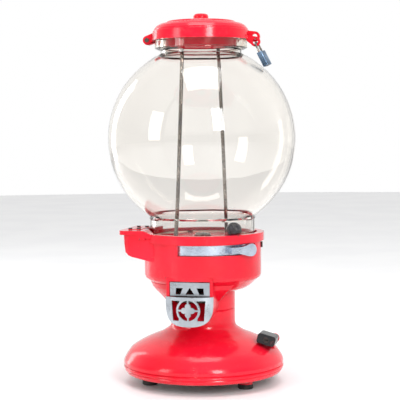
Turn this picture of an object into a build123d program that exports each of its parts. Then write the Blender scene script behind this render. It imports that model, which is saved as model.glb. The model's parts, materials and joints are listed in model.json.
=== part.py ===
from build123d import *
import os
from math import cos, radians, sin, sqrt

# Glass-globe penny ball vendor. Millimetres, +Z up, floor at z = 0, globe axis on x = y = 0.
# The chute and the lever window face -Y, the coin shelf is at -X, both padlocks are at +X.

# Driving dimensions
BASE_R = 87.3            # widest part of the base casting
NECK_R = 34.8            # outside of the neck
SEAM_Z = 81.0            # where the body casting stands on the base casting
BODY_R = 63.5            # outside of the body's round wall
BODY_IN_R = 60.0
FLANGE_R = 66.8          # rim that holds the globe
FLANGE_Z0, FLANGE_Z1 = 155.3, 164.3
LEDGE_Z = 156.5          # ledge that carries the hopper plate
GLOBE_R = 101.6          # 8 inch globe
GLOBE_Z = 265.35
GLASS = 4.0
NECK_GLASS_R = 57.0      # outside of the globe's lower neck
GLOBE_FOOT_Z = 161.0
MOUTH_R = 44.0           # outside of the globe's upper neck
LIP_R = 50.0
LIP_Z0, LIP_Z1 = 362.0, 372.0
LID_TOP_Z = 400.0
BALL_R = 8.0             # 16 mm ball gum
STROKE = 45              # degrees of wheel per vend, eight pockets
POCKETS = 8
POCKET_PITCH_R = 33.5
POCKET_R = 9.0
WHEEL_R = 45.8
SPINDLE_R = 4.0
RUN_FIT = 0.05           # radial clearance of a running fit

# Heights of the vending mechanism, from the hopper plate down
HOPPER_Z0, HOPPER_Z1 = LEDGE_Z, 159.5
WHEEL_Z0, WHEEL_Z1 = 140.0, 156.1
BED_Z0, BED_Z1 = 136.5, 139.5
RATCHET_Z0, RATCHET_Z1 = 132.5, 135.5
CARRIER_Z0, CARRIER_Z1 = 128.5, 131.5
BAND_Z0, BAND_Z1 = 143.4, 153.6
BAND_R0, BAND_R1 = 57.0, 59.4
WINDOW_Z0, WINDOW_Z1 = 143.0, 154.0

# Chute
DUCT_X = 24.8            # half width outside
OPEN_X = 21.8            # half width of the opening
DUCT_Y = -61.0           # front plane
DUCT_TOP_Z = 116.4
FLAP_PIN_Y, FLAP_PIN_Z = -57.8, 113.4
CUP_RING_Z = 87.0
CUP_RIVET_X, CUP_RIVET_Z, CUP_RIVET_R = (-23.85, 23.85), 94.0, 0.7

# Coin shelf: outer end, middle of the coin slot, and height of its overhanging lip
SHELF_X = -77.5
SHELF_SPLIT_X, SHELF_SPLIT_Z = -57.0, 127.0  # faces where the shelf's solid meets the body's
SLOT_X = -68.2
LIP_BOTTOM_Z, LIP_TOP_Z = 163.6, 168.0
COIN_SCREWS = [(SLOT_X + x, y) for x in (-4.4, 5.2) for y in (-31.4, 0.4)]

# Tie rods: polar angles, and radius at the bottom and the top
ROD_ANGLES = (-110, 70)
ROD_R = 2.0
ROD_FOOT = (50.0, 158.0)
ROD_HEAD = (34.3, 376.0)

# Lid hinge and eyes
HINGE_X, HINGE_Z = -59.0, 372.6
EYE_X, EYE_Z = 60.6, 368.2      # eye on the collar, which carries the padlock
EYE_Y0, EYE_Y1 = -4.7, -2.3
LUG_X, LUG_Z = 58.6, 374.0      # eye on the lid, behind it

# Base padlock: it lies on the slope, its lower leg goes through the staple
LOCK_LEAN = 15.3
LOCK_LEG_X, LOCK_LEG_Z = 79.2, 49.6
FOOT_ANGLES = (-30, 90, 210)
FOOT_R = 61.0
SPACER_ANGLES = (-45, 120, 200)
SPACER_R = 49.5

# Lever, pawl and padlocks
LEVER_ROOT = -47.5       # polar angle of the lever's root at rest
LEVER_RIVET_Z = (146.4, 150.6)
PAWL_PIVOT = (29.5 * cos(radians(115)), 29.5 * sin(radians(115)))
TOP_TILT, TOP_TWIST = 27.0, -12.0   # the collar's padlock leans on the globe
TOP_SPAN, TOP_WIRE = 4.2, 1.0
BASE_SPAN, BASE_WIRE = 5.5, 2.0


# ---- helpers ----
def polar(radius, angle):
    return (radius * cos(radians(angle)), radius * sin(radians(angle)))


def turned(*edges):
    """Solid of revolution about Z from joined edges drawn as (radius, height)."""
    return revolve(Plane.XZ * make_face(Curve() + list(edges)), Axis.Z)


def turned_outline(*points):
    return revolve(Plane.XZ * make_face(Polyline(*points, close=True)), Axis.Z)


def disc(radius, z0, z1, centre=(0, 0)):
    return Pos(*centre, z0) * extrude(Circle(radius), z1 - z0)


def ring(r_in, r_out, z0, z1, centre=(0, 0)):
    return Pos(*centre, z0) * extrude(Circle(r_out) - Circle(r_in), z1 - z0)


def sector(r_in, r_out, z0, z1, a0, a1):
    """Part of a ring between two polar angles."""
    outer = CenterArc((0, 0), r_out, a0, a1 - a0)
    inner = CenterArc((0, 0), r_in, a0, a1 - a0)
    sides = [Line(polar(r_in, a), polar(r_out, a)) for a in (a0, a1)]
    return Pos(0, 0, z0) * extrude(make_face(Curve() + [outer, inner, *sides]), z1 - z0)


def box(x0, x1, y0, y1, z0, z1):
    return Pos((x0 + x1) / 2, (y0 + y1) / 2, (z0 + z1) / 2) * Box(x1 - x0, y1 - y0, z1 - z0)


def plan(points, z0, z1):
    """Outline drawn from above."""
    return Pos(0, 0, z0) * extrude(make_face(Polyline(*points, close=True)), z1 - z0)


def side_view(points, x0, x1):
    """Outline drawn as (y, z), from x0 to x1."""
    return Pos(x0, 0, 0) * extrude(Plane.YZ * make_face(Polyline(*points, close=True)), x1 - x0)


def front_view(face, y0, y1):
    """Face drawn as (x, z), from y0 to y1."""
    return Pos(0, y1, 0) * extrude(Plane.XZ * face, y1 - y0)


def outline(*points):
    return make_face(Polyline(*points, close=True))


def rod(start, end, radius):
    axis = Vector(*end) - Vector(*start)
    return extrude(Plane(origin=start, z_dir=axis) * Circle(radius), axis.length)


def hexagon(start, end, radius):
    axis = Vector(*end) - Vector(*start)
    return extrude(Plane(origin=start, z_dir=axis) * RegularPolygon(radius, 6), axis.length)


def hex_nut(start, end, radius, hole):
    return hexagon(start, end, radius) - rod(start, end, hole)


def group(solids):
    return Compound(children=[s.solid() for s in solids])


def rod_point(angle, z):
    """Point on a tie rod's axis at height z."""
    share = (z - ROD_FOOT[1]) / (ROD_HEAD[1] - ROD_FOOT[1])
    return (*polar(ROD_FOOT[0] + share * (ROD_HEAD[0] - ROD_FOOT[0]), angle), z)


# ---- base ----
def base_skin(rim_z):
    """Outer form of the base, solid to the axis: a beaded rim, a flared dome and the neck."""
    bead = ThreePointArc((BASE_R - 1.3, 16.8), (BASE_R, 18.5), (BASE_R - 1.3, 20.2))
    lower = Polyline((0, rim_z), (BASE_R - 4.9, rim_z), (BASE_R - 2.9, 12.6), (BASE_R - 1.0, 15.8), bead @ 0)
    waist = Polyline(bead @ 1, (BASE_R - 0.2, 21.4), (BASE_R - 0.2, 24.8))
    flare = Spline(waist @ 1, (84.1, 31.0), (79.4, 37.6), (73.5, 42.0), (60.8, 48.6), (54.0, 51.5),
                   (45.5, 55.0), (39.5, 58.8), (NECK_R, 68.0), tangents=((-0.2, 1), (0, 1)))
    upper = Polyline(flare @ 1, (NECK_R, SEAM_Z - 0.9), (NECK_R - 0.9, SEAM_Z), (0, SEAM_Z), (0, rim_z))
    return turned(lower, bead, waist, flare, upper)


def base_hollow():
    flare = Spline((83.0, 24.0), (80.4, 29.2), (75.6, 34.8), (70.4, 38.3), (58.2, 44.6), (43.0, 51.0),
                   (35.2, 56.4), (31.0, 64.0), tangents=((-0.1, 1), (0, 1)))
    lower = Polyline((0, 4.0), (79.6, 4.0), (79.6, 15.2), (83.0, 18.6), (83.0, 24.0))
    upper = Polyline((31.0, 64.0), (31.0, SEAM_Z - 4), (0, SEAM_Z - 4), (0, 4.0))
    return turned(lower, flare, upper)


def coin_ways(z0, z1):
    """Two kidney openings either side of a web's centre bar."""
    return sector(10, 26, z0, z1, 25, 155) + sector(10, 26, z0, z1, 205, 335)


def base_casting():
    shell = base_skin(11.5) - base_hollow()
    shell -= coin_ways(SEAM_Z - 5, SEAM_Z + 1) + disc(3.2, SEAM_Z - 5, SEAM_Z + 1)
    inside = base_skin(5.0)
    for angle in FOOT_ANGLES:
        shell += disc(7.8, 5.0, 60.0, polar(FOOT_R, angle)) & inside
    shell += box(-81.5, -76.0, -6, 6, 11.5, 12.9)
    for angle in FOOT_ANGLES:
        shell -= disc(1.8, 4.0, 18.0, polar(FOOT_R, angle))
    shell -= box(73.7, 79.5, -1.5, 1.5, 22, 60)
    return shell


def rubber_feet():
    feet = []
    for angle in FOOT_ANGLES:
        foot = disc(8.2, 0, 5.0, polar(FOOT_R, angle))
        foot = chamfer(foot.edges().group_by(Axis.Z)[0], 0.8)
        foot -= disc(3.6, -1, 2.4, polar(FOOT_R, angle)) + disc(1.8, 0, 6, polar(FOOT_R, angle))
        feet.append(foot)
    return group(feet)


def foot_screws():
    return group([disc(3.4, 0.8, 2.4, polar(FOOT_R, a)) + disc(1.75, 2.4, 17.0, polar(FOOT_R, a))
                  for a in FOOT_ANGLES])


def cash_plate():
    plate = disc(79.2, 13.0, 14.4)
    for angle in FOOT_ANGLES:
        plate -= disc(8.3, 12, 16, polar(FOOT_R, angle))
    return plate


def cash_staple():
    """Tongue on the cash plate that comes out through the slope, with the padlock's eye."""
    stem = box(74.2, 79.0, -1.2, 1.2, 14.4, LOCK_LEG_Z)
    head = front_view(Pos(LOCK_LEG_X, LOCK_LEG_Z) * Circle(5.0), -1.2, 1.2)
    return stem + head - front_view(Pos(LOCK_LEG_X, LOCK_LEG_Z) * Circle(2.35), -2, 2)


def tie_bolt():
    return hexagon((0, 0, 72.2), (0, 0, SEAM_Z - 4), 6.4) + disc(3.0, SEAM_Z - 5, 97.0)


def tie_nut():
    return hex_nut((0, 0, 89.0), (0, 0, 94.4), 6.4, 3.0)


# ---- body ----
def body_skin():
    """Outer form of the body, solid to the axis, with a crease where the bowl meets the wall."""
    lower = Polyline((0, SEAM_Z), (NECK_R - 0.9, SEAM_Z), (NECK_R, SEAM_Z + 0.9), (NECK_R, 101.0))
    bowl = Spline(lower @ 1, (42.5, 102.2), (48.7, 104.7), (54.0, 108.6), (58.6, 112.8), (61.6, 115.6),
                  tangents=((1, 0.05), (0.6, 1)))
    upper = Polyline(bowl @ 1, (62.5, 115.8), (BODY_R, 118.6), (BODY_R, FLANGE_Z0), (FLANGE_R, FLANGE_Z0),
                     (FLANGE_R, FLANGE_Z1), (0, FLANGE_Z1), (0, SEAM_Z))
    return turned(lower, bowl, upper)


def body_hollow():
    bowl = Spline((31.0, 103.5), (41.0, 105.7), (46.8, 108.2), (51.6, 112.2), (55.6, 116.8),
                  (BODY_IN_R, 124.0),
                  tangents=((1, 0.1), (0, 1)))
    lower = Polyline((0, 89.0), (31.0, 89.0), (31.0, 103.5))
    upper = Polyline((BODY_IN_R, 124.0), (BODY_IN_R, 154.3), (56.0, 154.3), (56.0, LEDGE_Z), (59.3, LEDGE_Z),
                     (59.3, 170.0), (0, 170.0), (0, 89.0))
    return turned(lower, bowl, upper) + disc(31.0, SEAM_Z - 1, 85.0)


def chin():
    """Swelling under the bowl that carries the duct, fuller on the coin side."""
    swell = turned_outline((0, SEAM_Z), (33.9, SEAM_Z), (36.5, 84), (41.5, 91), (46.5, 96.5), (51.5, 101.5),
                           (55.0, 106.0), (57.0, 111.0), (0, 111.0))
    cut = outline((-9, 77), (-20, 86), (-32, 90), (-42, 94.3), (-48, 98), (-54, 104), (-58, 111),
                  (43, 111), (38, 106), (34.5, 103.2), (30.1, 98.5), (25.8, 93.5), (20.2, 88), (9, 77))
    return swell & front_view(cut, -66, -5)


def shelf_plan(grow, z0, z1):
    """The coin shelf seen from above, made bigger all round by grow."""
    block = box(SHELF_X - 1.3 * grow, -30.0, -47.0 - grow, 20.0 + grow, z0, z1)
    return fillet(block.edges().filter_by(Axis.Z).group_by(Axis.X)[0], 8.0 + min(grow, 0))


def shelf_end(inset):
    """Block to cut away beyond the shelf's end wall, which leans in downwards."""
    face = outline((-90, 120), (-69.2 + inset, 120), (SHELF_X + inset, LIP_BOTTOM_Z), (-90, LIP_BOTTOM_Z))
    return front_view(face, -60, 40)


def shelf_floor(raised):
    """Block to cut away below the shelf's floor, which rises outwards to a blunt corner."""
    points = ((-30, 131.6), (-66.5, 139.9), (-70.5, 141.6), (-73.0, 144.4), (-90, 144.4))
    face = outline((-90, 120), (-30, 120), *[(x, z + raised) for x, z in points])
    return front_view(face, -60, 40)


def coin_box():
    tab = box(-60.5, -51.5, -49.2, -46.0, 158.4, LIP_BOTTOM_Z)
    return shelf_plan(0, 128.0, LIP_BOTTOM_Z) - shelf_end(0) - shelf_floor(0) + tab


def coin_box_hollow():
    hollow = shelf_plan(-3.2, 128.0, 164.8) - shelf_end(2.6) - shelf_floor(3.0)
    return hollow - disc(BODY_R, 154.0, 170.0)


def shelf_lip():
    """Overhanging top of the shelf, which slopes down to the globe rim."""
    profile = outline((-90, LIP_BOTTOM_Z), (-90, LIP_TOP_Z), (-53.5, LIP_TOP_Z), (-44.5, FLANGE_Z1),
                      (-30, FLANGE_Z1), (-30, 160.0), (-50.0, 160.0), (-56.0, LIP_BOTTOM_Z))
    return front_view(profile, -60, 40) & shelf_plan(3.0, 150.0, 170.0)


def duct_block():
    profile = [(DUCT_Y, 120.0), (DUCT_Y, 69.9), (-57.5, 69.9), (-47.0, 78.0), (-40.0, 82.4), (-31.0, 84.5),
               (-31.0, 98.0), (-45.0, 108.0), (-55.0, 120.0)]
    return side_view(profile, -DUCT_X, DUCT_X) & front_view(cup_face(0.8, 121.0), -64, -30)


def duct_hollow():
    profile = [(-63.0, DUCT_TOP_Z), (-63.0, 73.0), (-56.5, 73.0), (-37.0, 90.6), (-33.8, 93.5),
               (-33.4, 100.0), (-24.0, 108.0), (-20.0, 125.0), (-52.0, 125.0), (-56.0, DUCT_TOP_Z)]
    return side_view(profile, -OPEN_X, OPEN_X) & front_view(cup_face(3.4, 126.0), -64, -15)


def radial_hole(angle, z, radius, r0, r1):
    return rod((*polar(r0, angle), z), (*polar(r1, angle), z), radius)


def whole_casting():
    casting = body_skin() + chin() + coin_box() + shelf_lip() + duct_block()
    casting -= body_hollow() + coin_box_hollow()
    casting -= duct_hollow()
    casting -= coin_ways(84, 90) + disc(3.2, 84, 90)
    casting -= sector(58.5, 68, WINDOW_Z0, WINDOW_Z1, -102, -15)
    casting -= radial_hole(10, 150.0, 1.8, 59, 70)
    casting -= box(SLOT_X - 1.6, SLOT_X + 1.6, -28.0, -3.0, 160.0, 167.2)
    casting -= box(SLOT_X - 6.8, SLOT_X + 7.7, -34.0, 3.0, 166.8, 170.0)
    for x, y in COIN_SCREWS:
        casting -= disc(1.3, 162.5, 170.0, (x, y))
    for x in (-DUCT_X, OPEN_X):
        casting -= rod((x - 1, FLAP_PIN_Y, FLAP_PIN_Z), (x + 4, FLAP_PIN_Y, FLAP_PIN_Z), 1.2)
    for x in CUP_RIVET_X:
        casting -= rod((x, -62.0, CUP_RIVET_Z), (x, -57.0, CUP_RIVET_Z), CUP_RIVET_R)
    return casting


def shelf_zone():
    """Block round the coin shelf, whose solid is kept apart so that its hollow is open on one side."""
    return box(-90, SHELF_SPLIT_X, -60, 40, SHELF_SPLIT_Z, 172)


def body_casting():
    return whole_casting() - shelf_zone()


def coin_shelf():
    return whole_casting() & shelf_zone()


def coin_entry_plate():
    plate = box(SLOT_X - 6.6, SLOT_X + 7.5, -33.8, 2.8, 166.8, 168.6)
    plate -= box(SLOT_X - 1.4, SLOT_X + 1.4, -26.0, -5.0, 165.0, 170.0)
    plate = chamfer(plate.edges().group_by(Axis.Z)[-1], 0.5)
    for x, y in COIN_SCREWS:
        plate -= disc(1.3, 160.0, 170.0, (x, y))
    return plate


def coin_plate_screws():
    return group([disc(2.1, 168.6, 169.7, p) + disc(1.25, 163.4, 168.6, p) for p in COIN_SCREWS])


def coin_track():
    """Sheet channel that guides a coin on edge from the slot towards the lever ring."""
    outer = [(-31.0, 164.8), (-0.5, 164.8), (-4.0, 147.0), (-27.0, 147.0)]
    inner = [(-29.8, 166.0), (-1.7, 166.0), (-5.3, 146.0), (-25.6, 146.0)]
    return side_view(outer, SLOT_X - 2.8, SLOT_X + 2.8) - side_view(inner, SLOT_X - 1.4, SLOT_X + 1.4)


def side_screw():
    start, middle, end = (polar(60.6, 10), polar(BODY_R, 10), polar(65.2, 10))
    return rod((*start, 150.0), (*middle, 150.0), 1.8) + rod((*middle, 150.0), (*end, 150.0), 3.2)


# ---- vending mechanism ----
def hopper_plate():
    plate = disc(59.0, HOPPER_Z0, HOPPER_Z1) - disc(SPINDLE_R, 150, 165)
    plate -= sector(24.5, 43.0, 150, 165, 155, 238)
    for angle in ROD_ANGLES:
        plate -= rod(rod_point(angle, 150), rod_point(angle, 165), ROD_R + 0.1)
    for angle in SPACER_ANGLES:
        plate -= disc(1.5, 150, 165, polar(SPACER_R, angle))
    return plate


def bed_plate():
    """Fixed plate that the balls ride on, with the hole that they drop through."""
    plate = disc(54.0, BED_Z0, BED_Z1) - disc(9.6, 130, 145)
    plate -= disc(POCKET_R + 0.6, 130, 145, polar(POCKET_PITCH_R, -90))
    for angle in SPACER_ANGLES:
        plate -= disc(1.5, 130, 145, polar(SPACER_R, angle))
    return plate


def bed_spacers():
    return group([ring(1.5, 3.0, BED_Z1, HOPPER_Z0, polar(SPACER_R, a)) for a in SPACER_ANGLES])


def bed_screws():
    screws = []
    for angle in SPACER_ANGLES:
        head = disc(3.0, HOPPER_Z1, HOPPER_Z1 + 1.7, polar(SPACER_R, angle))
        x, y = polar(SPACER_R, angle)
        head -= box(x - 4, x + 4, y - 0.4, y + 0.4, HOPPER_Z1 + 0.9, HOPPER_Z1 + 2)
        screws.append(head + disc(1.45, BED_Z0, HOPPER_Z1, (x, y)))
    return group(screws)


def spindle():
    return turned_outline((0, 106), (SPINDLE_R, 106), (SPINDLE_R, HOPPER_Z1), (9.0, HOPPER_Z1), (9.0, 161.2),
                          (6.5, 163.0), (0, 163.8))


def spindle_nut():
    return hex_nut((0, 0, 107.0), (0, 0, 111.2), 6.4, SPINDLE_R)


def spring_retainer():
    return ring(SPINDLE_R, 10.6, 111.2, 113.2) + sector(8.6, 10.6, 111.2, 116.0, 5, 22)


def return_spring():
    """Torsion spring that turns the lever ring back, with a leg at each end."""
    coil_r, wire_r, foot, height = 7.2, 0.6, 114.5, 8.4
    path = Pos(0, 0, foot) * Helix(pitch=1.4, height=height, radius=coil_r)
    coil = sweep(Plane(origin=path @ 0, z_dir=path % 0) * Circle(wire_r), path=path, is_frenet=True)
    lower_leg = rod((coil_r, 0, foot), (10.2, 0, foot), wire_r)
    return coil + lower_leg + rod((coil_r, 0, foot + height), (coil_r, 0, 126.0), wire_r)


def measure_wheel():
    wheel = disc(WHEEL_R, WHEEL_Z0, WHEEL_Z1) + disc(9.0, 132.2, WHEEL_Z0)
    wheel = chamfer(wheel.edges().filter_by(GeomType.CIRCLE).group_by(Axis.Z)[-1], 0.6)
    for k in range(POCKETS):
        centre = polar(POCKET_PITCH_R, -90 + STROKE * (k + 0.5))
        wheel -= disc(POCKET_R, 139, 158, centre)
    return wheel - disc(SPINDLE_R + RUN_FIT, 130, 160)


def ratchet_wheel():
    points = []
    for k in range(POCKETS):
        root = 85 + STROKE * k
        points += [polar(19.5, root), polar(24.0, root + 41.5)]
    return plan(points, RATCHET_Z0, RATCHET_Z1) - disc(9.0, 130, 140)


def lever_carrier():
    """Ring behind the lever window, carried round the spindle by an arm at the rear."""
    carrier = disc(10.0, 124.0, CARRIER_Z1) + sector(8.0, BAND_R1, CARRIER_Z0, CARRIER_Z1, 60, 125)
    carrier += sector(BAND_R0, BAND_R1, CARRIER_Z0, BAND_Z1, 62, 123)
    carrier += sector(BAND_R0, BAND_R1, BAND_Z0, BAND_Z1, -106, 125)
    carrier -= disc(SPINDLE_R + RUN_FIT, 120, 140) + disc(0.8, 120, 127, (7.2, 0))
    carrier -= disc(1.5, 120, 140, PAWL_PIVOT) + sector(20.0, 50.0, 120, 140, 68, 92)
    for z in LEVER_RIVET_Z:
        carrier -= radial_hole(LEVER_ROOT, z, 1.2, 55, 62)
    return carrier


def lever_handle():
    """Thumb lever: a root block through the window and a spoon that follows the wall."""
    inner = ThreePointArc(polar(64.4, -51), polar(64.6, -38), polar(67.4, -23))
    outer = ThreePointArc(polar(68.2, -51), polar(69.2, -38), polar(71.6, -23))
    ends = [Line(inner @ 0, outer @ 0), Line(inner @ 1, outer @ 1)]
    slab = Pos(0, 0, 138) * extrude(make_face(Curve() + [inner, outer, *ends]), 22)
    view = Plane(origin=(*polar(60, -37), 0), x_dir=(*polar(1, 53), 0), z_dir=(*polar(1, -37), 0))
    root_end = Line((-15.5, 151.8), (-15.5, 145.2))
    tip = ThreePointArc((9.5, 154.8), (16.4, 148.2), (9.5, 141.6))
    upper = Spline((-15.5, 151.8), (-6.0, 152.0), (2.0, 153.2), (9.5, 154.8), tangents=((1, 0), (1, 0)))
    lower = Spline((9.5, 141.6), (2.0, 142.8), (-6.0, 144.8), (-15.5, 145.2), tangents=((-1, 0), (-1, 0)))
    spoon = slab & extrude(view * make_face(Curve() + [upper, tip, lower, root_end]), 20)
    root = sector(BAND_R1, 65.5, 145.2, 151.8, -50.5, -44.5)
    lever = spoon + root
    for z in LEVER_RIVET_Z:
        lever -= radial_hole(LEVER_ROOT, z, 1.2, 58, 63)
    return lever


def lever_rivets():
    rivets = []
    for z in LEVER_RIVET_Z:
        shank = radial_hole(LEVER_ROOT, z, 1.2, 56.6, 63)
        rivets.append(shank + radial_hole(LEVER_ROOT, z, 1.8, 56.0, 56.7))
    return group(rivets)


def drive_pawl():
    tip = [polar(20.5, 86.4), polar(25.0, 86.4), polar(31.5, 98), polar(33.0, 113), polar(26.0, 112),
           polar(22.8, 98)]
    pawl = plan(tip, 132.3, 134.9) + disc(3.8, 132.3, 134.9, PAWL_PIVOT)
    return pawl - disc(1.5 + RUN_FIT, 130, 140, PAWL_PIVOT)


def pawl_pin():
    return disc(1.5, CARRIER_Z0, 135.3, PAWL_PIVOT) + disc(2.6, 135.2, 136.0, PAWL_PIVOT)


def pawl_spring():
    leaf = [polar(57.0, 104.0), polar(57.0, 104.6), polar(33.2, 104.6), polar(33.2, 103.6)]
    return plan(leaf, 132.3, 134.9)


def backstop_spring():
    leaf = [(-21.9, 1.2), (-22.5, 1.2), (-23.8, -20.0), (-23.2, -20.0)]
    return plan(leaf, 132.8, 135.2) + box(-26.5, -22.6, -26.0, -19.5, 132.8, BED_Z0)


def ball_slide():
    """Bent sheet that leads a dropped ball forward into the duct."""
    return side_view([(-39.2, 91.2), (-38.0, 90.9), (-25.2, 120.6), (-26.4, 121.1)], -20.5, 20.5)


# ---- chute ----
def cup_face(inset, top_z):
    """D-shaped front of the cup, or its inside when inset."""
    side = [(25.6, 100.8), (25.4, 92.0), (23.9, 82.0), (19.4, 74.6), (11.0, 70.8)]
    reach = [(x * (1 - inset / 26.0), z + inset * max(0, 87.0 - z) / 17.0) for x, z in side]
    curve = Spline(*reach, (0, 69.9 + inset), *[(-x, z) for x, z in reversed(reach)])
    (x0, z0) = reach[0]
    return make_face(Curve() + [curve, Polyline((-x0, z0), (-x0, top_z), (x0, top_z), (x0, z0))])


def quatrefoil(centre_z):
    """Four-lobed rosette on four spokes, inside the round opening."""
    motif = Pos(0, centre_z) * Circle(3.6)
    for angle in range(0, 360, 90):
        motif += Pos(*polar(4.3, angle)) * Pos(0, centre_z) * Circle(3.1)
        motif += Pos(0, centre_z) * Rot(0, 0, angle) * Pos(9.0, 0) * Rectangle(5.0, 1.7)
    return motif


def cup_windows():
    pierced = Pos(0, CUP_RING_Z) * Circle(10.6) - quatrefoil(CUP_RING_Z)
    keep = Pos(0, CUP_RING_Z) * Circle(12.8)
    for side in (-1, 1):
        window = outline((side * 9.0, 97.2), (side * 18.2, 97.2), (side * 16.6, 76.2), (side * 10.0, 76.2))
        pierced += window - keep
    return pierced


def chute_cup():
    """Convex receiving cup, open at the top and towards the duct."""
    front_r, centre_y, thick = 48.5, -21.0, 2.4
    cup = front_view(cup_face(0, 101.4), -75, DUCT_Y) & disc(front_r, 60, 110, (0, centre_y))
    cup &= box(-30, 30, -80, -50, 60, 100.8)
    inside = front_view(cup_face(thick, 110), -75, DUCT_Y + 1)
    cup -= inside & disc(front_r - thick, 60, 120, (0, centre_y))
    cup -= front_view(cup_windows(), -75, DUCT_Y)
    for x in CUP_RIVET_X:
        cup -= rod((x, DUCT_Y + 1, CUP_RIVET_Z), (x, DUCT_Y - 1.0, CUP_RIVET_Z), CUP_RIVET_R)
    return cup


def cup_rivets():
    return group([rod((x, DUCT_Y - 1.0, CUP_RIVET_Z), (x, -57.0, CUP_RIVET_Z), CUP_RIVET_R)
                  for x in CUP_RIVET_X])


def chute_flap():
    half = OPEN_X - 0.5
    face = outline((-half, 101.2), (half, 101.2), (half, 115.4), (-half, 115.4))
    face -= outline((-15.2, 102.8), (-10.3, 102.8), (-7.4, 109.6), (-14.8, 109.6))
    face -= outline((15.2, 102.8), (10.3, 102.8), (7.4, 109.6), (14.8, 109.6))
    face -= outline((-4.8, 102.8), (4.8, 102.8), (0, 110.2))
    flap = front_view(face, -60.2, -58.4)
    flap += rod((-half, FLAP_PIN_Y, FLAP_PIN_Z), (half, FLAP_PIN_Y, FLAP_PIN_Z), 2.4)
    return flap - rod((-30, FLAP_PIN_Y, FLAP_PIN_Z), (30, FLAP_PIN_Y, FLAP_PIN_Z), 1.2 + RUN_FIT)


def flap_hinge_pin():
    return rod((-DUCT_X, FLAP_PIN_Y, FLAP_PIN_Z), (DUCT_X, FLAP_PIN_Y, FLAP_PIN_Z), 1.2)


# ---- globe ----
def sphere_height(radius, r):
    return sqrt(radius ** 2 - r ** 2)


def glass_globe():
    inner_r = GLOBE_R - GLASS
    neck_in, mouth_in = 53.0, 40.0
    outer = ThreePointArc((NECK_GLASS_R, GLOBE_Z - sphere_height(GLOBE_R, NECK_GLASS_R)), (GLOBE_R, GLOBE_Z),
                          (MOUTH_R, GLOBE_Z + sphere_height(GLOBE_R, MOUTH_R)))
    inner = ThreePointArc((mouth_in, GLOBE_Z + sphere_height(inner_r, mouth_in)), (inner_r, GLOBE_Z),
                          (neck_in, GLOBE_Z - sphere_height(inner_r, neck_in)))
    foot = Polyline(inner @ 1, (neck_in, GLOBE_FOOT_Z), (NECK_GLASS_R, GLOBE_FOOT_Z), (NECK_GLASS_R, 178.0),
                    (NECK_GLASS_R + 1.0, 179.2), outer @ 0)
    lip = Polyline(outer @ 1, (MOUTH_R, LIP_Z0 - 2), (LIP_R - 1, LIP_Z0), (LIP_R, LIP_Z0 + 1),
                   (LIP_R, LIP_Z1 - 1), (LIP_R - 1, LIP_Z1), (mouth_in, LIP_Z1), inner @ 0)
    return turned(outer, lip, inner, foot)


def globe_gasket_bottom():
    return ring(52.8, NECK_GLASS_R + 0.2, HOPPER_Z1, GLOBE_FOOT_Z)


def globe_gasket_top():
    return ring(41.0, LIP_R - 0.6, LIP_Z1, 373.0)


def tie_rods():
    return group([rod(rod_point(a, 149.4), rod_point(a, 381.0), ROD_R) for a in ROD_ANGLES])


def rod_nuts_bottom():
    return group([hex_nut(rod_point(a, 151.4), rod_point(a, 156.1), 3.5, ROD_R) for a in ROD_ANGLES])


def rod_nuts_top():
    return group([hex_nut(rod_point(a, 376.3), rod_point(a, 379.6), 3.9, ROD_R) for a in ROD_ANGLES])


def ball_gum():
    return Pos(37.3, -13.7, HOPPER_Z1 + BALL_R + 0.05) * Sphere(BALL_R)


# ---- collar and lid ----
def globe_collar():
    collar = ring(36.0, 38.8, 364.0, 373.0)
    for angle in ROD_ANGLES:
        collar -= rod(rod_point(angle, 360), rod_point(angle, 380), 3.0)
    collar += ring(29.5, 49.8, 373.0, 376.0)
    for angle in ROD_ANGLES:
        collar -= rod(rod_point(angle, 360), rod_point(angle, 380), ROD_R + 0.1)
    arm = outline((46, 373.2), (50.4, 373.2), (50.6, 369.6), (EYE_X - 1.6, EYE_Z - 5.1),
                  (EYE_X + 1, EYE_Z + 5.2), (50, 376), (46, 376))
    eye = arm + Pos(EYE_X, EYE_Z) * Circle(5.3) - Pos(EYE_X, EYE_Z) * Circle(2.9)
    hook_arm = outline((-46, 373.2), (-50.5, 373.2), (-50.5, 369.6), (HINGE_X + 0.5, HINGE_Z - 5.4),
                       (HINGE_X - 0.5, HINGE_Z + 5.0), (-56, 376.2), (-50, 376), (-46, 376))
    hook = hook_arm + Pos(HINGE_X, HINGE_Z) * Circle(5.2) - Pos(HINGE_X, HINGE_Z) * Circle(2.75)
    hook -= outline((HINGE_X, HINGE_Z), (HINGE_X - 8, HINGE_Z + 5), (HINGE_X - 8, HINGE_Z - 5))
    return collar + front_view(eye, EYE_Y0, EYE_Y1) + front_view(hook, -3.0, 3.0)


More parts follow.
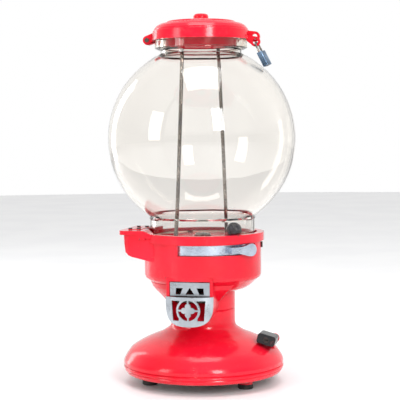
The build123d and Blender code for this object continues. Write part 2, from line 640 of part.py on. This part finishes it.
def lid():
    """Dished cap with a ridge round its crown, a knob, a padlock lug and two hinge cheeks."""
    shell = turned_outline((0, 393.2), (10, 393.0), (24, 392.2), (33.6, 391.5), (35.0, 391.8), (36.6, 391.4),
                           (37.6, 390.2), (44.6, 388.6), (48.2, 386.4), (50.6, 383.4), (51.0, 381.8),
                           (52.0, 381.2), (53.2, 371.2), (50.6, 371.2), (50.2, 378.5), (47.0, 382.6),
                           (43.5, 385.0), (36.5, 387.2), (24, 388.8), (0, 389.6))
    shell += turned_outline((0, 392), (9.6, 392), (9.2, 393.6), (8.2, 394.4), (8.2, 397.0), (7.4, 398.8),
                            (5.4, 399.7), (2.6, LID_TOP_Z), (0, LID_TOP_Z))
    shell -= box(48, 56, EYE_Y0 - 0.5, EYE_Y1 + 0.5, 370, 376.6) + box(-56, -48, -3.5, 3.5, 370, 376.6)
    lug = outline((51.0, 371.6), (51.0, 380.6), (LUG_X + 1.0, LUG_Z + 5.5), (LUG_X - 1.2, LUG_Z - 5.4))
    lug = lug + Pos(LUG_X, LUG_Z) * Circle(5.6) - Pos(LUG_X, LUG_Z) * Circle(2.9)
    cheek = outline((-51.0, 371.6), (-51.0, 380.6), (HINGE_X - 1.0, HINGE_Z + 4.5),
                    (HINGE_X + 1.0, HINGE_Z - 4.5))
    cheek = cheek + Pos(HINGE_X, HINGE_Z) * Circle(4.6) - Pos(HINGE_X, HINGE_Z) * Circle(2.4)
    shell += front_view(lug, 2.0, 5.4)
    for y0 in (-6.4, 3.4):
        shell += front_view(cheek, y0, y0 + 3.0)
    return shell


def lid_hinge_bar():
    return rod((HINGE_X, -7.4, HINGE_Z), (HINGE_X, 7.4, HINGE_Z), 2.4)


# ---- padlocks, each built hanging from its pivot at the origin: legs down -Z, spread along Y ----
def u_shackle(wire_r, half_span, crown_z, long_leg_z, short_leg_z):
    bend_z = crown_z - half_span
    crown = ThreePointArc((0, -half_span, bend_z), (0, 0, crown_z), (0, half_span, bend_z))
    legs = [Line((0, -half_span, short_leg_z), crown @ 0), Line(crown @ 1, (0, half_span, long_leg_z))]
    path = Wire([legs[0], crown, legs[1]])
    return sweep(Plane(origin=path @ 0, z_dir=path % 0) * Circle(wire_r), path=path)


def top_place(solid):
    return Pos(EYE_X, (EYE_Y0 + EYE_Y1) / 2, EYE_Z) * Rot(0, -TOP_TILT, 0) * Rot(0, 0, TOP_TWIST) * solid


def top_lock_shackle():
    return top_place(u_shackle(TOP_WIRE, TOP_SPAN, -1.2, -18.5, -15.5))


def top_lock_case():
    """Laminated case: wide plates with narrower ones between them."""
    top_z, plates, pitch, thick = -12.4, 7, 2.4, 1.8
    case = box(-2.75, 2.75, -5.6, 5.6, top_z - pitch * (plates - 1) - thick, top_z)
    for k in range(plates):
        z = top_z - pitch * k
        case += fillet(box(-3.1, 3.1, -6.0, 6.0, z - thick, z).edges().filter_by(Axis.Z), 1.2)
    for y, depth in ((-TOP_SPAN, -16.5), (TOP_SPAN, -19.5)):
        case -= disc(TOP_WIRE + RUN_FIT, depth, -12, (0, y))
    return top_place(case - disc(2.2 + RUN_FIT, -31.0, -22.8))


def top_lock_plug():
    return top_place(disc(2.2, -28.4, -22.9) - box(-0.35, 0.35, -1.4, 1.4, -29, -26.4))


def base_place(solid):
    """Lay a lock on the slope: lower leg through the staple's eye, keyway to the front."""
    down = Vector(cos(radians(LOCK_LEAN)), 0, -sin(radians(LOCK_LEAN)))
    across = (sin(radians(LOCK_LEAN)), 0, cos(radians(LOCK_LEAN)))
    centre = Vector(LOCK_LEG_X, 0, LOCK_LEG_Z) - down * BASE_SPAN
    return Plane(origin=centre, x_dir=across, z_dir=(0, 1, 0)).location * solid


def base_lock_shackle():
    return base_place(u_shackle(BASE_WIRE, BASE_SPAN, 10.0, -12.0, -9.5))


def base_lock_case():
    case = box(-5.7, 5.7, -10.0, 10.0, -24.2, -4.2)
    case = fillet(case.edges().filter_by(Axis.Z), 3.2)
    case = fillet(case.edges().group_by(Axis.Z)[0] + case.edges().group_by(Axis.Z)[-1], 1.0)
    for y, depth in ((-BASE_SPAN, -14.5), (BASE_SPAN, -17.0)):
        case -= disc(BASE_WIRE + RUN_FIT, depth, -4, (0, y))
    return base_place(case - disc(3.2 + RUN_FIT, -25, -17.9))


def base_lock_plug():
    return base_place(disc(3.2, -24.0, -18.0) - box(-0.5, 0.5, -2.1, 2.1, -25, -22))


NODES = (base_casting, rubber_feet, foot_screws, cash_plate, cash_staple, tie_bolt, tie_nut, body_casting,
         coin_shelf, coin_entry_plate, coin_plate_screws, coin_track, side_screw, hopper_plate, bed_plate,
         bed_spacers, bed_screws, spindle, spindle_nut, spring_retainer, return_spring, measure_wheel,
         ratchet_wheel, lever_carrier, lever_handle, lever_rivets, drive_pawl, pawl_pin, pawl_spring,
         backstop_spring, ball_slide, chute_cup, cup_rivets, chute_flap, flap_hinge_pin, glass_globe,
         globe_gasket_bottom, globe_gasket_top, tie_rods, rod_nuts_bottom, rod_nuts_top, ball_gum,
         globe_collar, lid, lid_hinge_bar, top_lock_shackle, top_lock_case, top_lock_plug,
         base_lock_shackle, base_lock_case, base_lock_plug)

os.makedirs("parts", exist_ok=True)
for node in NODES:
    shape = node()
    shape.label = node.__name__
    export_step(shape, f"parts/{node.__name__}.step")
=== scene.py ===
import json
from math import cos, radians, sin

import bpy
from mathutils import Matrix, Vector

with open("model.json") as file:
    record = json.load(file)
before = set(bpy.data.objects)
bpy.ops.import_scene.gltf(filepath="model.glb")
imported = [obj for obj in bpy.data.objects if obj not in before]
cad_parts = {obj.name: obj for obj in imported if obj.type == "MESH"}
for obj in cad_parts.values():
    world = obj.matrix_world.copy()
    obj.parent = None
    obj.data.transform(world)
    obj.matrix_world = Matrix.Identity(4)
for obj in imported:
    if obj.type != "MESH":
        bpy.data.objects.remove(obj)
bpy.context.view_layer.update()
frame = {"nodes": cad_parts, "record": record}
NODES = frame["nodes"]
SCENE = bpy.context.scene

# Camera, in metres and degrees: round the object's axis, towards +X from the front
CAMERA_TURN = 13.5
CAMERA_RADIUS = 1.310
CAMERA_HEIGHT = 0.274
CAMERA_PITCH = -3.3
CAMERA_ROLL = 0.5
CAMERA_LENS = 108.45
CAMERA_SHIFT = -0.0044
SENSOR_WIDTH = 36.0

FLOOR_RADIUS = 4.0
LIGHT_TARGET = Vector((0, 0, 0.2))
WHITE = (1.0, 1.0, 1.0, 1.0)

# Sockets of a colour Mix node, which share their names
MIX_SHARE, MIX_A, MIX_B, MIX_RESULT = 0, 6, 7, 2


def place_camera():
    data = bpy.data.cameras.new("camera")
    data.lens = CAMERA_LENS
    data.sensor_width = SENSOR_WIDTH
    data.shift_x = CAMERA_SHIFT
    camera = bpy.data.objects.new("camera", data)
    turn = radians(CAMERA_TURN)
    camera.location = (CAMERA_RADIUS * sin(turn), -CAMERA_RADIUS * cos(turn), CAMERA_HEIGHT)
    camera.rotation_euler = (radians(90 + CAMERA_PITCH), radians(CAMERA_ROLL), turn)
    SCENE.collection.objects.link(camera)
    SCENE.camera = camera


place_camera()


# ---- materials ----
class Nodes:
    """A node tree, with short ways to add and join nodes."""

    def __init__(self, tree, coordinates):
        self.tree = tree
        self.place = self.node("ShaderNodeTexCoord").outputs[coordinates]

    def node(self, kind, **settings):
        made = self.tree.nodes.new(kind)
        for key, value in settings.items():
            setattr(made, key, value)
        return made

    def join(self, value, socket):
        """Link a socket, or set a plain value."""
        if isinstance(value, bpy.types.NodeSocket):
            self.tree.links.new(value, socket)
        else:
            socket.default_value = value

    def noise(self, scale, detail=3.0, roughness=0.5, stretch=None):
        place = self.place
        if stretch:
            mapping = self.node("ShaderNodeMapping")
            self.join(place, mapping.inputs["Vector"])
            mapping.inputs["Scale"].default_value = stretch
            place = mapping.outputs["Vector"]
        made = self.node("ShaderNodeTexNoise")
        self.join(place, made.inputs["Vector"])
        made.inputs["Scale"].default_value = scale
        made.inputs["Detail"].default_value = detail
        made.inputs["Roughness"].default_value = roughness
        return made.outputs["Fac"]

    def remap(self, value, low, high, to_low=0.0, to_high=1.0):
        made = self.node("ShaderNodeMapRange", clamp=True)
        self.join(value, made.inputs["Value"])
        ends = {"From Min": low, "From Max": high, "To Min": to_low, "To Max": to_high}
        for name, number in ends.items():
            made.inputs[name].default_value = number
        return made.outputs["Result"]

    def math(self, operation, a, b):
        made = self.node("ShaderNodeMath", operation=operation)
        self.join(a, made.inputs[0])
        self.join(b, made.inputs[1])
        return made.outputs[0]

    def blend(self, share, a, b):
        """Colour a where share is 0, and b where it is 1."""
        made = self.node("ShaderNodeMix", data_type="RGBA")
        self.join(share, made.inputs[MIX_SHARE])
        self.join(a, made.inputs[MIX_A])
        self.join(b, made.inputs[MIX_B])
        return made.outputs[MIX_RESULT]

    def axes(self):
        """The coordinates' x, y and z sockets."""
        split = self.node("ShaderNodeSeparateXYZ")
        self.join(self.place, split.inputs[0])
        return split.outputs


SURFACE_INPUTS = {
    "color": "Base Color", "metal": "Metallic", "rough": "Roughness", "ior": "IOR",
    "coat": "Coat Weight", "coat_rough": "Coat Roughness", "specular": "Specular IOR Level",
    "through": "Transmission Weight",
}


class Shader(Nodes):
    """A material built on one principled surface."""

    def __init__(self, name):
        self.material = bpy.data.materials.new(name)
        self.material.use_nodes = True
        super().__init__(self.material.node_tree, "Object")
        self.surface = self.tree.nodes["Principled BSDF"]

    def edges(self, low, high):
        """1 on outward edges, from the surface's own curvature."""
        return self.remap(self.node("ShaderNodeNewGeometry").outputs["Pointiness"], low, high)

    def bump(self, *layers):
        """Stack bumps given as (height, strength, distance in metres)."""
        normal = None
        for height, strength, distance in layers:
            made = self.node("ShaderNodeBump")
            made.inputs["Strength"].default_value = strength
            made.inputs["Distance"].default_value = distance
            self.join(height, made.inputs["Height"])
            if normal:
                self.join(normal, made.inputs["Normal"])
            normal = made.outputs["Normal"]
        self.join(normal, self.surface.inputs["Normal"])

    def set(self, **values):
        for key, value in values.items():
            self.join(value, self.surface.inputs[SURFACE_INPUTS[key]])


def rgb(red, green, blue):
    return (red, green, blue, 1.0)


def enamel(name, deep, bright, under, wear, gloss, cast, shine):
    """Enamel over a casting: uneven colour, dull scuffs, hairline scratches, few chips, cast pitting."""
    s = Shader(name)
    tone = s.blend(s.remap(s.noise(14, 4), 0.35, 0.65), deep, bright)
    ragged = s.noise(620, 5, 0.65)
    edge_chips = s.math("MULTIPLY", s.edges(0.56, 0.64), s.remap(s.noise(130, 4), 0.60, 0.66))
    speck_low = 0.485 - 0.03 * wear
    specks = s.remap(s.math("MULTIPLY", s.noise(230, 2), ragged), speck_low, speck_low + 0.015)
    chips = s.math("MAXIMUM", s.remap(s.math("MULTIPLY", edge_chips, ragged), 0.34, 0.42), specks)
    scuffs = s.remap(s.noise(42, 6, 0.7), 0.55, 0.75)
    lines = s.remap(s.noise(240, 3, 0.6, stretch=(0.5, 0.5, 6.0)), 0.66, 0.70)
    hairs = s.math("MULTIPLY", lines, scuffs)
    tone = s.blend(s.math("MULTIPLY", scuffs, 0.16), tone, rgb(0.80, 0.12, 0.14))
    tone = s.blend(s.math("MULTIPLY", hairs, 0.7), tone, rgb(0.85, 0.55, 0.52))
    s.set(color=s.blend(chips, tone, under), coat=shine, coat_rough=0.06, specular=0.3)
    dull = s.math("ADD", s.remap(scuffs, 0, 1, gloss, gloss + 0.14), s.math("MULTIPLY", chips, 0.3))
    s.set(rough=s.math("ADD", dull, s.math("MULTIPLY", hairs, 0.2)))
    s.bump((s.noise(60, 3), 0.25 * cast, 0.0012), (s.noise(520, 4), 0.18 * cast, 0.0003),
           (s.math("SUBTRACT", 1.0, chips), 0.5, 0.0002), (hairs, -0.2, 0.0001))
    return s.material


def metal(name, light, dark, rough, grain, pits, polish=0.0):
    """Bare or plated metal: soft clouds of tarnish, specks in hollows, fine scratches."""
    s = Shader(name)
    cloud = s.remap(s.noise(70, 4, 0.5), 0.30, 0.75)
    specks = s.remap(s.math("MULTIPLY", s.noise(grain, 4, 0.7), s.noise(55, 2)), 0.29, 0.38)
    tone = s.blend(s.math("MULTIPLY", specks, pits), s.blend(cloud, light, dark), rgb(0.12, 0.12, 0.13))
    scratches = s.noise(900, 2, 0.5, stretch=(1.0, 1.0, 0.06))
    s.set(color=tone, metal=1.0)
    cloudy = s.remap(cloud, 0, 1, rough, rough + 0.12 - polish)
    s.set(rough=s.math("ADD", cloudy, s.math("MULTIPLY", specks, 0.18)))
    s.bump((s.noise(grain, 4), 0.25, 0.0003), (scratches, 0.08, 0.0001), (specks, -0.2, 0.0002))
    return s.material


def glass_material():
    """Clear old glass: warm through its thickness, with slow waves and a few dull smears."""
    s = Shader("globe_glass")
    smears = s.remap(s.noise(40, 5), 0.58, 0.8, 0.0, 0.05)
    s.set(color=rgb(0.99, 0.985, 0.975), through=1.0, ior=1.46, rough=smears)
    s.bump((s.noise(16, 2), 0.12, 0.002))
    body = s.node("ShaderNodeVolumeAbsorption")
    body.inputs["Color"].default_value = rgb(0.72, 0.60, 0.42)
    body.inputs["Density"].default_value = 24.0
    s.join(body.outputs["Volume"], s.tree.nodes["Material Output"].inputs["Volume"])
    return s.material


def rubber(name, low, high, grain):
    """Matt rubber, mottled and finely grained."""
    s = Shader(name)
    s.set(color=s.blend(s.remap(s.noise(160, 4), 0.4, 0.7), low, high))
    s.set(rough=s.remap(s.noise(240, 3), 0.3, 0.7, 0.5, 0.85))
    s.bump((s.noise(grain, 3), 0.3, 0.0002))
    return s.material


def gum_material():
    """Near-black sugar shell with a soft shine."""
    s = Shader("gum_shell")
    mottle = s.remap(s.noise(220, 4), 0.45, 0.7)
    s.set(color=s.blend(mottle, rgb(0.006, 0.006, 0.014), rgb(0.02, 0.02, 0.05)))
    s.set(rough=s.remap(s.noise(300, 3), 0.3, 0.7, 0.08, 0.2), specular=0.35)
    s.bump((s.noise(260, 3), 0.1, 0.0003))
    return s.material


MATERIALS = {
    "red_enamel": enamel("red_enamel_worn", rgb(0.68, 0.004, 0.018), rgb(0.86, 0.010, 0.034),
                         under=rgb(0.16, 0.03, 0.03), wear=0.3, gloss=0.18, cast=1.0, shine=0.16),
    "black_enamel": enamel("black_enamel_worn", rgb(0.006, 0.006, 0.007), rgb(0.014, 0.014, 0.016),
                           under=rgb(0.10, 0.09, 0.08), wear=0.6, gloss=0.24, cast=0.8, shine=0.1),
    "blue_steel": metal("blued_steel", rgb(0.24, 0.35, 0.50), rgb(0.05, 0.09, 0.15),
                        rough=0.28, grain=500, pits=0.7),
    "cast_aluminium": metal("tumbled_aluminium", rgb(0.54, 0.58, 0.62), rgb(0.34, 0.38, 0.42),
                            rough=0.34, grain=900, pits=0.5),
    "nickel": metal("worn_nickel", rgb(0.68, 0.76, 0.87), rgb(0.42, 0.50, 0.62),
                    rough=0.18, grain=700, pits=0.35, polish=0.04),
    "steel": metal("plain_steel", rgb(0.30, 0.27, 0.24), rgb(0.12, 0.10, 0.085),
                   rough=0.22, grain=520, pits=0.6),
    "dark_steel": metal("oxidised_steel", rgb(0.10, 0.09, 0.085), rgb(0.03, 0.028, 0.026),
                        rough=0.42, grain=520, pits=0.7),
    "brass": metal("dull_brass", rgb(0.72, 0.52, 0.22), rgb(0.45, 0.30, 0.12),
                   rough=0.26, grain=480, pits=0.7),
    "glass": glass_material(),
    "rubber": rubber("black_rubber", rgb(0.012, 0.012, 0.012), rgb(0.06, 0.055, 0.05), 700),
    "pale_gasket": rubber("cream_rubber", rgb(0.80, 0.76, 0.66), rgb(0.62, 0.56, 0.46), 600),
    "gum": gum_material(),
}


def dress_nodes():
    """Give every CAD node the material of its slot."""
    for entry in frame["record"]["subparts"]:
        slots = NODES[entry["node"]].data.materials
        slots.clear()
        slots.append(MATERIALS[entry["material_slot"]])


dress_nodes()


# ---- light and floor ----
LIGHTS = (  # name, place, size, height, watts
    ("key", (1.0, -1.5, 1.0), 0.45, 0.9, 22.0),
    ("fill", (-1.3, -1.3, 0.7), 0.5, 1.0, 9.0),
    ("top", (0.1, -0.3, 1.7), 0.9, 0.9, 12.0),
    ("rim", (-1.3, 0.8, 0.5), 0.3, 1.2, 4.0),
)
DIM = 0.36  # the sky's strength on the camera's side


def sky():
    """White background; for light and reflections, bright behind and above and dim in front."""
    world = bpy.data.worlds.new("studio")
    world.use_nodes = True
    SCENE.world = world
    s = Nodes(world.node_tree, "Generated")
    behind, above = s.axes()[1:]
    lit_behind = s.remap(behind, -0.15, 0.45, DIM, 1.0)
    lit_above = s.remap(above, 0.45, 0.95, DIM, 0.9)
    lit = s.math("MAXIMUM", lit_behind, lit_above)
    seen = s.node("ShaderNodeLightPath").outputs["Is Camera Ray"]
    background = world.node_tree.nodes["Background"].inputs
    s.join(s.math("MAXIMUM", lit, seen), background["Strength"])
    background["Color"].default_value = WHITE


def studio():
    SCENE.view_settings.view_transform = "Standard"
    sky()
    for name, spot, width, height, watts in LIGHTS:
        data = bpy.data.lights.new(name, "AREA")
        data.shape = "RECTANGLE"
        data.energy = watts
        data.size, data.size_y = width, height
        light = bpy.data.objects.new(name, data)
        light.location = spot
        light.rotation_euler = (LIGHT_TARGET - light.location).to_track_quat("-Z", "Y").to_euler()
        SCENE.collection.objects.link(light)


def floor():
    """Plain pale floor, which isn't part of the object."""
    bpy.ops.mesh.primitive_circle_add(vertices=96, radius=FLOOR_RADIUS, fill_type="NGON")
    plane = bpy.context.object
    plane.name = "floor"
    s = Shader("pale_floor")
    pale = s.blend(s.remap(s.noise(6, 3), 0.4, 0.6), rgb(0.90, 0.90, 0.91), rgb(0.93, 0.93, 0.935))
    s.set(color=pale, rough=0.45)
    plane.data.materials.append(s.material)


studio()
floor()
